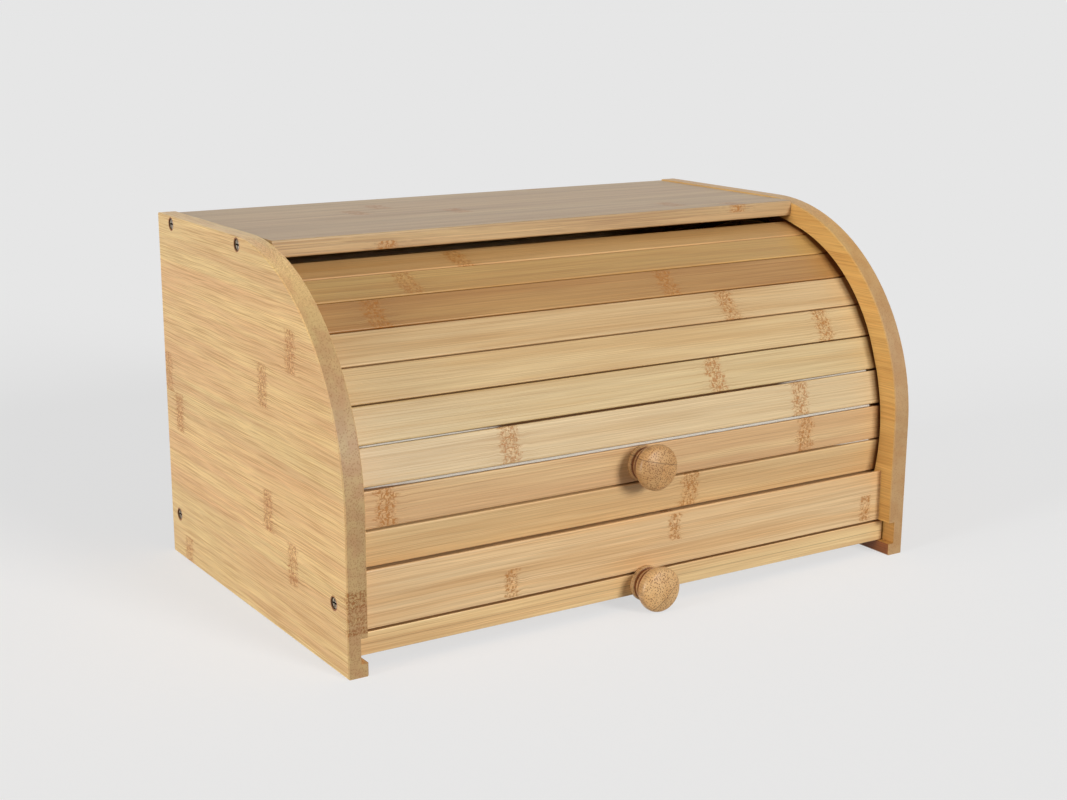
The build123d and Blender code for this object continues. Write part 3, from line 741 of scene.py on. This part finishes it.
boards = {
    "side_panel_left": board_material(
        "left_side_bamboo", "YZX", {"Ground": tone(250, 213, 143), "Streak Colour": tone(233, 180, 122),
                                    "Vein Colour": tone(186, 126, 60), "Strip": 0.024, "Seed": 1.0,
                                    "Vein Spacing": 0.0008, "Vein Length": 0.06, "Veins": 1.15,
                                    "Speck Colour": tone(184, 108, 20), "Strip Contrast": 0.10,
                                    "End Tint": (0.52, 0.50, 0.52, 1.0)},
        marks=LEFT_MARKS, mark_height=SIDE_NODE_HEIGHT, cuts=side_cuts),
    "side_panel_right": board_material(
        "right_side_bamboo", "YZX", {"Ground": tone(221, 175, 102), "Streak Colour": tone(208, 154, 81),
                                     "Vein Colour": tone(171, 112, 47), "Strip": 0.024, "Seed": 12.0,
                                     "End Tint": (0.70, 0.72, 1.03, 1.0)},
        marks=RIGHT_MARKS, mark_height=SIDE_NODE_HEIGHT, cuts=side_cuts),
    "top_panel": board_material(
        "top_bamboo", "XYZ", {"Ground": tone(205, 173, 125), "Streak Colour": tone(181, 143, 100),
                              "Vein Colour": tone(144, 106, 68), "Strip": 0.021, "Seed": 3.0,
                              "Vein Length": 0.16, "Strip Contrast": 0.10}, scatter=0.5),
    "front_rail": board_material(
        "rail_bamboo", "XZY", {"Ground": tone(228, 195, 147), "Seed": 4.0, "Strip": 0.0155,
                               "Vein Length": 0.16, "Veins": 0.65},
        marks=RAIL_MARKS, mark_height=RAIL_NODE_HEIGHT, mark_length=RAIL_NODE_LENGTH,
        facing=SHOW_FRONT, edge=0.2),
    "floor_panel": board_material("floor_bamboo", "XYZ", {**DARKER, "Seed": 5.0}, scatter=0.5),
    "back_panel": board_material(
        "back_bamboo", "XZY", {**DARKER, "Seed": 6.0, "Strip": 0.022}, scatter=0.5),
    "drawer_front": board_material(
        "drawer_front_bamboo", "XZY", {"Ground": tone(236, 204, 148), "Strip": 0.0142, "Seed": 7.0,
                                       "Vein Length": 0.16, "Veins": 0.65, "Seam": 0.25},
        facing=SHOW_FRONT, edge=0.6),
    "drawer_back": board_material("drawer_back_bamboo", "XZY", {"Seed": 8.0}, scatter=0.35),
    "drawer_bottom": board_material("tray_bamboo", "XYZ", {"Seed": 9.0}, scatter=0.5),
}
for side, seed in (("left", 10.0), ("right", 11.0)):
    boards[f"drawer_side_{side}"] = board_material(
        f"runner_{side}_bamboo", "YZX", {"Seed": seed}, scatter=0.4)
for node, material in boards.items():
    dress(node, material)
print("boards dressed:", len(boards))

# %% [markdown]
# ## Materials for the slats
#
# Each slat is a single strip, so a growth node fills its whole height.  The nine slats differ in
# tone: the upper ones are a deep honey colour, the middle ones pale straw and the lower ones
# pinkish tan.  Their veins are longer and straighter than those of the boards.  The long edges,
# which face each other in the joints, are painted dark as shade, and the rounded corners beside
# them are painted lighter as a highlight, which draws each joint as a crisp line.

# %% Tones and places of the slats
SLAT_LOOKS = {       # ground, streak and vein tones, then growth nodes as (along, up from the middle)
    1: ((228, 196, 143), (212, 170, 116), (169, 119, 67), [(0.0365, 0.0016)]),
    2: ((225, 191, 139), (207, 161, 112), (163, 111, 61), [(-0.1690, 0.0020), (0.1255, 0.0014)]),
    3: ((220, 194, 149), (206, 173, 123), (173, 130, 77), [(-0.0887, 0.0020), (0.1229, 0.0002)]),
    4: ((214, 188, 138), (200, 165, 109), (167, 123, 68), [(0.0608, 0.0015)]),
    5: ((220, 191, 141), (204, 165, 110), (168, 121, 67), [(0.1555, 0.0)]),
    6: ((219, 187, 138), (201, 159, 105), (162, 115, 64), [(0.0877, 0.0010)]),
    7: ((189, 145, 87), (172, 121, 65), (135, 83, 36), [(-0.1471, 0.0006), (0.0522, 0.0017)]),
    8: ((204, 166, 100), (187, 140, 76), (147, 97, 42), [(-0.1168, 0.0023)]),
    9: ((211, 170, 112), (191, 143, 84), (148, 97, 47), [(-0.0735, 0.0)]),
}
SLAT_ANGLES = [-7.64, 2.49, 12.91, 23.04, 32.99, 42.93, 52.88, 62.82, 72.77]   # of their middles
print("slats from", SLAT_ANGLES[0], "to", SLAT_ANGLES[-1], "degrees above level")

# %% Finishes of the slats
# how far in from each end of a slat the painted shade of its groove reaches
GROOVE_SHADE_WIDTH = 2.2 * MM
LOW_SLAT_EDGE, SLAT_EDGE = 0.2, 0.5       # how much painted shade the long edges get


def slat_grain(network, place):
    """Grain coordinates of a slat: along X, across round the curtain's circle."""
    return network.use(curtain_space, Place=place["Object"]).outputs["Grain"]


def outward(degrees):
    """Direction away from the curtain's centre at an angle above level."""
    return (0.0, -cos(radians(degrees)), sin(radians(degrees)))


def slat_end_shade(network, place):
    """The ends of a slat, which run in the grooves, painted dark as the shade there."""
    x, _, _ = network.split(place["Object"])
    return network.fade(network.math("ABSOLUTE", x), SIDE_FACES[0] - GROOVE_SHADE_WIDTH, SIDE_FACES[0])


for number, (ground, streak_tone, vein_tone, marks) in SLAT_LOOKS.items():
    slat_angle = SLAT_ANGLES[number - 1]
    middle = radians(slat_angle) * CURTAIN_RADIUS
    look = {**PLAIN_LOOK, "Ground": tone(*ground), "Streak Colour": tone(*streak_tone),
            "Vein Colour": tone(*vein_tone), "Strip": 0.5, "Seed": 20.0 + number, "Strip Contrast": 0.0,
            "Vein Length": 0.15, "Vein Spacing": 0.0008, "Sway": 0.0006, "Veins": 0.7}
    dress(f"tambour_slat_{number}",
          bamboo_material(f"slat_{number}_bamboo", slat_grain, (1.0, 0.0, 0.0), look,
                          marks=[(along, middle + up) for along, up in marks], mark_height=0.024,
                          facing=outward(slat_angle),
                          edge=LOW_SLAT_EDGE if number == 1 else SLAT_EDGE, cuts=slat_end_shade))
print("slats dressed:", len(SLAT_LOOKS))

# %% [markdown]
# ## Materials for the knobs and the dowels
#
# The knobs are turned from a block glued up from two pieces, with the grain along the knob's
# own axis.  The domed face therefore shows the veins as close dark dots, and the glue line
# crosses it.  The two knobs are screwed on turned differently, so the line falls a little to the
# right on the upper one and climbs steeply on the lower one.  The two turned grooves are painted
# darker, as the shade that lies in them.  The dowels are plain pale wood, which only shows when
# the box is taken apart.

# %% Grain of a knob
def knob_grain(turn, middle, line):
    """Grain coordinates for a knob: along Y, with the glue line turned about its axis."""
    def grain(network, place):
        x, y, z = network.split(place["Object"])
        height = network.math("SUBTRACT", z, middle)
        across = network.math("ADD", network.product(x, sin(turn)), network.product(height, cos(turn)))
        deep = network.math("SUBTRACT", network.product(x, cos(turn)), network.product(height, sin(turn)))
        return network.join(y, network.math("SUBTRACT", across, line), deep)
    return grain


print("knobs to dress:", [name for name in nodes if name.endswith("knob")])

# %% Painted shade in the turned grooves
NECK_SIZE = (0.0105, 0.0097)      # painted shade lies within this radius
GROOVES_END = (0.0096, 0.0088)    # and this close to the seat


def knob_groove_shade(seat, direction):
    """Mask of painted shade in the turned grooves of a knob on seat, pointing in a direction."""
    def mask(network, place):
        from_seat = network.plus(place["Object"], [-value for value in seat])
        height = network.vector("DOT_PRODUCT", from_seat, direction, "Value")
        cross = network.vector("CROSS_PRODUCT", from_seat, direction)
        size = network.add("VectorMath", operation="LENGTH")
        network.feed(size.inputs[0], cross)
        return network.product(network.fade(size.outputs["Value"], *NECK_SIZE),
                               network.fade(height, *GROOVES_END))
    return mask


print("stained neck:", NECK_SIZE[0], "m in radius and", GROOVES_END[0], "m long")

# %% Finishes of the knobs
KNOB_LOOK = {**PLAIN_LOOK, "Ground": tone(206, 163, 110), "Streak Colour": tone(191, 142, 87),
             "Vein Colour": tone(121, 74, 34), "Strip": 0.030, "Layer": 0.1, "Strip Contrast": 0.24,
             "Vein Spacing": 0.0012, "Vein Length": 0.03, "Dot Spacing": 0.00095, "Dots": 1.0,
             "Veins": 1.0, "Seam": 0.45, "End Tint": (1.0, 0.97, 0.90, 1.0)}
DRAWER_KNOB_LOOK = {**KNOB_LOOK, "Ground": tone(221, 182, 130), "Streak Colour": tone(206, 160, 105)}
SLAT_FACE = 0.12626               # outer face of the slats, from the curtain's centre
KNOB_LINE = (radians(14), 0.0042)           # turn of the glue line, and how far it lies off the middle
DRAWER_KNOB_LINE = (radians(-42), -0.004)
ALONG_Y = (0.0, 1.0, 0.0)
knob_angle = radians(SLAT_ANGLES[1])
knob_seat = (0.0, CURTAIN_CENTRE[0] - SLAT_FACE * cos(knob_angle),
             CURTAIN_CENTRE[1] + SLAT_FACE * sin(knob_angle))
drawer_low, drawer_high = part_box("drawer_front")
drawer_seat = (0.0, drawer_low.y, (drawer_low.z + drawer_high.z) / 2)


def dress_knob(node, look, seat, direction, line):
    """Turned bamboo for a knob that stands on seat and points in a direction."""
    turn, off_middle = line
    dress(node, bamboo_material(f"{node}_bamboo", knob_grain(turn, seat[2], off_middle), ALONG_Y, look,
                                cuts=knob_groove_shade(seat, direction)))


dress_knob("tambour_knob", {**KNOB_LOOK, "Seed": 31.0}, knob_seat, outward(SLAT_ANGLES[1]), KNOB_LINE)
dress_knob("drawer_knob", {**DRAWER_KNOB_LOOK, "Seed": 33.0}, drawer_seat, (0.0, -1.0, 0.0),
           DRAWER_KNOB_LINE)
print("knobs stand at", [round(value, 4) for value in knob_seat], [round(value, 4) for value in drawer_seat])

# %% Dowels
DOWEL_LOOK = {"Ground": tone(226, 202, 160), "Streak Colour": tone(208, 178, 134),
              "Vein Colour": tone(186, 150, 106), "Vein Spacing": 0.0009, "Vein Length": 0.012, "Veins": 0.5}
dress("floor_dowels", board_material("floor_dowel_wood", "YZX", {**DOWEL_LOOK, "Seed": 41.0}))
dress("drawer_dowels", board_material("drawer_dowel_wood", "YZX", {**DOWEL_LOOK, "Seed": 42.0}))
print("dowels dressed")

# %% [markdown]
# ## Steel
#
# Screws and nails are zinc-plated or bright steel.  Their heads are small, so what one sees is a
# soft grey gleam with darker patches, and fine scratches left by the driver.  Scratches are a
# noise stretched very long one way.

# %% Brushed steel pattern
steel_wear, net, given, result = new_group(
    "steel_wear", {"Place": "vector", "Bright": "colour", "Dull": "colour"},
    {"Color": "colour", "Roughness": "number", "Height": "number"})
BLOTCHES = (700.0, 700.0, 700.0)        # to the metre
SCRATCHES = (900.0, 900.0, 9000.0)
blotch = net.fade(net.noise(net.times(given["Place"], BLOTCHES), detail=3.0), 0.35, 0.65)
scratch = net.fade(net.noise(net.times(given["Place"], SCRATCHES), detail=1.0), 0.4, 0.75)
net.feed(result["Color"], net.mix(blotch, given["Bright"], given["Dull"]))
net.feed(result["Roughness"], net.math("MULTIPLY_ADD", blotch, 0.22, 0.24))
net.feed(result["Height"], net.product(scratch, 0.5))
print("nodes in the steel pattern:", len(steel_wear.nodes))

# %% Function that makes a steel material
RECESS_SHADE_TONE = tone(44, 34, 24)
SCRATCH_DEPTH = 0.00002


def steel_material(name, bright, dull, shade=None):
    """Steel, with an optional mask of places painted black as shade."""
    material, network, shader, place = new_material(name)
    worn = network.use(steel_wear, Place=place["Object"], Bright=bright, Dull=dull)
    colour = worn.outputs["Color"]
    if shade:
        colour = network.mix(shade(network, place), colour, RECESS_SHADE_TONE)
    network.feed(shader.inputs["Base Color"], colour)
    network.feed(shader.inputs["Metallic"], 1.0)
    network.feed(shader.inputs["Roughness"], worn.outputs["Roughness"])
    add_bump(network, shader, worn.outputs["Height"], SCRATCH_DEPTH)
    return material


print("scratches are", SCRATCH_DEPTH, "m deep")

# %% Screws and nails
SCREW_FACE = 0.1994             # the heads' faces, from the middle of the box
RECESS_DEPTH = (0.0001, 0.0004) # below the face, where the black of the recess starts and is full
RIM_REACH = (0.0026, 0.0031)    # the same for the rim, from the screw's middle


def head_shade(network, place):
    """Painted shade on the rim and in the cross recess of a side screw's head."""
    x, _, _ = network.split(place["Object"])
    sunk = network.math("SUBTRACT", SCREW_FACE, network.math("ABSOLUTE", x))
    rim = network.use(from_screw, Place=place["Object"]).outputs["Reach"]
    return most(network, [network.fade(sunk, *RECESS_DEPTH), network.fade(rim, *RIM_REACH)])


side_screw_steel = steel_material("zinc_plated_screws", tone(232, 220, 198), tone(160, 142, 116), head_shade)
screw_steel = steel_material("zinc_plated_steel", tone(206, 204, 198), tone(150, 146, 138))
nail_steel = steel_material("bright_steel", tone(196, 196, 196), tone(140, 140, 142))
for node in ("side_screws_left", "side_screws_right"):
    dress(node, side_screw_steel)
for node in ("tambour_knob_screw", "drawer_knob_screw"):
    dress(node, screw_steel)
dress("back_panel_nails", nail_steel)
print("steel dressed")

# %% [markdown]
# ## The canvas behind the slats
#
# A strip of grey cotton canvas is glued across the backs of the slats and is the hinge between
# them.  From inside it shows as the whole back of the curtain.  From outside it shows as a pale
# line where it has pushed up into a joint: all along the widest joint, near both ends of the one
# above, and at the right end of the one below.  It could be simulated as cloth, but glue holds
# it flat nearly everywhere, so its line is worked out instead: flat behind each slat, with a
# rounded ridge in those joints and small puckers on the inside.

# %% Sizes of the canvas
SLAT_REAR = 0.12126            # backs of the slats, from the curtain's centre
CANVAS_THICKNESS = 0.8 * MM
CANVAS_HALF_WIDTH = 0.1805
CANVAS_END = 0.0085            # from the middle of the first and last slat to the canvas's edges
STEPS_PER_SLAT = 14
STEPS_ACROSS = 180
PUCKER = 0.25 * MM             # most that the inner skin stands off beside a joint
RIDGES = {          # joint above this slat: its width at the canvas, then (x, height) along the ridge, in mm
    1: (0.5, [(140, 0.0), (158, 3.6), (181, 4.2)]),
    2: (1.1, [(-181, 0.6), (-168, 2.0), (-150, 4.3), (-60, 4.8), (20, 5.0), (110, 4.9), (150, 4.5),
              (181, 4.2)]),
    3: (0.5, [(-181, 4.9), (-140, 4.7), (-112, 4.0), (-88, 0.0), (108, 0.0), (130, 3.6), (181, 4.5)]),
}
RIDGE_SHAPE = [(-1.25, 0.0), (-1.0, 0.45), (-0.85, 0.85), (-0.45, 0.98), (0.0, 1.0)]   # aside, up
RIDGE_SHAPE += [(-aside, up) for aside, up in reversed(RIDGE_SHAPE[:-1])]
RIDGE_FILL = 0.92              # share of the joint's width that the ridge takes up
SLAT_ROUND = 0.9 * MM          # of a slat's outer corners, past which a joint opens
print("joints with a ridge:", list(RIDGES))

# %% Line of the canvas behind the slats
def ridge_height(joint, x):
    """Height of the ridge in a joint at x, in metres, with straight runs between its points."""
    points = RIDGES[joint][1]
    x = x / MM
    if x <= points[0][0]:
        return points[0][1] * MM
    for (x0, low), (x1, high) in zip(points, points[1:]):
        if x <= x1:
            return (low + (high - low) * (x - x0) / (x1 - x0)) * MM
    return points[-1][1] * MM


def canvas_rows():
    """Rows of the canvas from its lower edge up: angle, joint or 0, and the place on a ridge."""
    swing = atan(CANVAS_END / SLAT_REAR)
    bends = [radians(a + b) / 2 for a, b in zip(SLAT_ANGLES, SLAT_ANGLES[1:])]
    stops = [radians(SLAT_ANGLES[0]) - swing, *bends, radians(SLAT_ANGLES[-1]) + swing]
    rows = []
    for joint, (low, high) in enumerate(zip(stops, stops[1:])):
        shape = RIDGE_SHAPE if joint in RIDGES else [(0.0, 0.0)]
        rows += [(low, joint if joint in RIDGES else 0, aside, up) for aside, up in shape]
        rows += [(low + (high - low) * i / STEPS_PER_SLAT, 0, 0.0, 0.0) for i in range(1, STEPS_PER_SLAT)]
    rows.append((stops[-1], 0, 0.0, 0.0))
    return rows, bends


print("rows of the canvas:", len(canvas_rows()[0]))


# %% Places on the canvas
def canvas_radius(angle, offset):
    """Distance from the curtain's centre to the flat behind the nearest slat."""
    nearest = min(SLAT_ANGLES, key=lambda middle: abs(radians(middle) - angle))
    return (SLAT_REAR - offset) / cos(angle - radians(nearest))


def canvas_point(x, row, offset, height):
    """A point of one skin of the canvas, offset inwards from the slats, on a ridge so high."""
    angle, joint, aside, up = row
    lift = up * height
    half = 0.0
    if joint:
        opening = tan(radians(SLAT_ANGLES[joint] - SLAT_ANGLES[joint - 1]) / 2)
        past = min(max(0.0, lift - (SLAT_FACE - SLAT_REAR - SLAT_ROUND)), SLAT_ROUND)
        half = RIDGE_FILL * (RIDGES[joint][0] * MM / 2 + lift * opening
                             + SLAT_ROUND - sqrt(SLAT_ROUND ** 2 - past ** 2))
    radius = canvas_radius(angle, offset) + lift
    return (x, CURTAIN_CENTRE[0] - radius * cos(angle) + aside * half * sin(angle),
            CURTAIN_CENTRE[1] + radius * sin(angle) + aside * half * cos(angle))


print("flat of the canvas:", round(canvas_radius(radians(SLAT_ANGLES[0]), 0.0), 5), "m from the centre")

# %% Skins of the canvas
WAVE_COUNT = 6
PUCKER_REACH = 4.0 * MM        # from a joint, along the canvas
RIDGE_UNEVENNESS = 0.05


def canvas_skin(mesh, rows, bends, ripple, inner):
    """Rows of points of the outer skin, or of the inner one with its puckers."""
    skin = []
    for row in rows:
        from_joint = min(abs(row[0] - bend) for bend in bends) * SLAT_REAR
        near_joint = max(0.0, 1 - from_joint / PUCKER_REACH)
        line = []
        for i in range(STEPS_ACROSS + 1):
            x = CANVAS_HALF_WIDTH * (2 * i / STEPS_ACROSS - 1)
            waves = sum(sin(x * (60 + 47 * k) + ripple[k] + 9 * row[0])
                        for k in range(WAVE_COUNT)) / WAVE_COUNT
            offset, height = 0.0, 0.0
            if inner:
                offset = CANVAS_THICKNESS + PUCKER * near_joint * (0.6 + 0.4 * waves)
            elif row[1]:
                height = ridge_height(row[1], x) * (1 + RIDGE_UNEVENNESS * waves)
            line.append(mesh.verts.new(canvas_point(x, row, offset, height)))
        skin.append(line)
    return skin


print("points across the canvas:", STEPS_ACROSS + 1)

# %% Mesh of the canvas
def canvas_mesh():
    """Closed sheet: an outer skin on the slats, an inner skin with puckers, and a rim."""
    chooser = random.Random(7)
    rows, bends = canvas_rows()
    ripple = [chooser.uniform(0, 2 * pi) for _ in range(WAVE_COUNT)]
    mesh = bmesh.new()
    outer, inner = [canvas_skin(mesh, rows, bends, ripple, side) for side in (False, True)]
    last_row, last = len(rows) - 1, STEPS_ACROSS
    for r in range(last_row):
        for i in range(last):
            mesh.faces.new((outer[r][i], outer[r][i + 1], outer[r + 1][i + 1], outer[r + 1][i]))
            mesh.faces.new((inner[r][i], inner[r + 1][i], inner[r + 1][i + 1], inner[r][i + 1]))
        mesh.faces.new((outer[r][0], outer[r + 1][0], inner[r + 1][0], inner[r][0]))
        mesh.faces.new((outer[r][last], inner[r][last], inner[r + 1][last], outer[r + 1][last]))
    for i in range(last):
        mesh.faces.new((outer[0][i], inner[0][i], inner[0][i + 1], outer[0][i + 1]))
        mesh.faces.new((outer[last_row][i], outer[last_row][i + 1],
                        inner[last_row][i + 1], inner[last_row][i]))
    bmesh.ops.recalc_face_normals(mesh, faces=mesh.faces)
    made = bpy.data.meshes.new("glued_canvas")
    mesh.to_mesh(made)
    mesh.free()
    made.polygons.foreach_set("use_smooth", [True] * len(made.polygons))
    return made


canvas = bpy.data.objects.new("glued_canvas", canvas_mesh())
scene.collection.objects.link(canvas)
print("canvas faces:", len(canvas.data.polygons))

# %% [markdown]
# ## Weave
#
# The canvas is a plain weave: each thread goes over one and under the next.  Two rows of waves
# at right angles give the threads, and a chessboard decides which of them is on top.  At the
# bottom of the joints it is painted brown, as the shade that lies there, which is found by the
# distance from the curtain's centre.

# %% Plain weave pattern
plain_weave, net, given, result = new_group(
    "plain_weave", {"Place": "vector", "Thread": "number", "Light": "colour", "Dark": "colour"},
    {"Color": "colour", "Roughness": "number", "Height": "number"})
UNEVEN_BUMPS = (40.0, 40.0, 0.0)            # to the metre
UNEVEN_THREADS = 1.2                        # that the rows drift by
FUZZ_BUMPS = (3000.0, 3000.0, 3000.0)
along, across, _ = net.split(given["Place"])
uneven = net.product(net.noise(net.times(given["Place"], UNEVEN_BUMPS), detail=3.0), UNEVEN_THREADS)
count_a = net.math("ADD", net.math("DIVIDE", along, given["Thread"]), uneven)
count_b = net.math("ADD", net.math("DIVIDE", across, given["Thread"]), uneven)
crown_a = net.math("ABSOLUTE", net.math("SINE", net.product(count_a, pi)))
crown_b = net.math("ABSOLUTE", net.math("SINE", net.product(count_b, pi)))
squares = net.math("ADD", net.math("FLOOR", count_a), net.math("FLOOR", count_b))
top = net.math("ABSOLUTE", net.math("MODULO", squares, 2.0))
over = net.product(crown_a, net.math("MULTIPLY_ADD", crown_b, 0.5, 0.5))
under = net.product(crown_b, net.math("MULTIPLY_ADD", crown_a, 0.5, 0.5))
height = net.math("ADD", net.product(over, top), net.product(under, net.math("SUBTRACT", 1.0, top)))
fuzz = net.noise(net.times(given["Place"], FUZZ_BUMPS), detail=2.0)
# the threads are painted darker where they dip, as the shade between them
shade = net.math("MULTIPLY_ADD", height, 0.7, net.product(fuzz, 0.3), clamp=True)
net.feed(result["Color"], net.mix(shade, given["Dark"], given["Light"]))
net.feed(result["Roughness"], net.math("MULTIPLY_ADD", fuzz, 0.1, 0.82))
net.feed(result["Height"], height)
print("weave group:", len(plain_weave.nodes), "nodes")

# %% Canvas material
CANVAS_THREAD = 0.55 * MM
CANVAS_LIGHT, CANVAS_DARK = tone(252, 245, 232), tone(214, 204, 188)
JOINT_SHADE_TONE = tone(112, 72, 34)
THREAD_HEIGHT = 0.2 * MM
COTTON_SHINE, COTTON_SHEEN = 0.25, 0.15
canvas_material, network, shader, place = new_material("grey_canvas")
space = network.use(curtain_space, Place=place["Object"]).outputs["Grain"]
weave = network.use(plain_weave, Place=space, Thread=CANVAS_THREAD, Light=CANVAS_LIGHT, Dark=CANVAS_DARK)
_, _, reach = network.split(space)
# the outer skin is painted brown as shade except on the ridges; it shows only at the bottom of the joints
joint_shade = network.product(network.fade(reach, SLAT_REAR + 2.0 * MM, SLAT_REAR + 0.7 * MM),
                        network.fade(reach, SLAT_REAR - 0.4 * MM, SLAT_REAR - 0.2 * MM))
network.feed(shader.inputs["Base Color"], network.mix(joint_shade, weave.outputs["Color"], JOINT_SHADE_TONE))
network.feed(shader.inputs["Roughness"], weave.outputs["Roughness"])
network.feed(shader.inputs["Specular IOR Level"], COTTON_SHINE)
network.feed(shader.inputs["Sheen Weight"], COTTON_SHEEN)
add_bump(network, shader, weave.outputs["Height"], THREAD_HEIGHT)
canvas.data.materials.append(canvas_material)
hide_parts("tambour_canvas")
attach(canvas, "curtain")
print("canvas dressed")

# %% [markdown]
# ## Last checks
#
# Every piece should have a material of its own by now.

# %% List the pieces without a finish
bare = [name for name, piece in nodes.items() if not any(m and m.use_nodes for m in piece.data.materials)]
print("pieces without a finish:", bare)
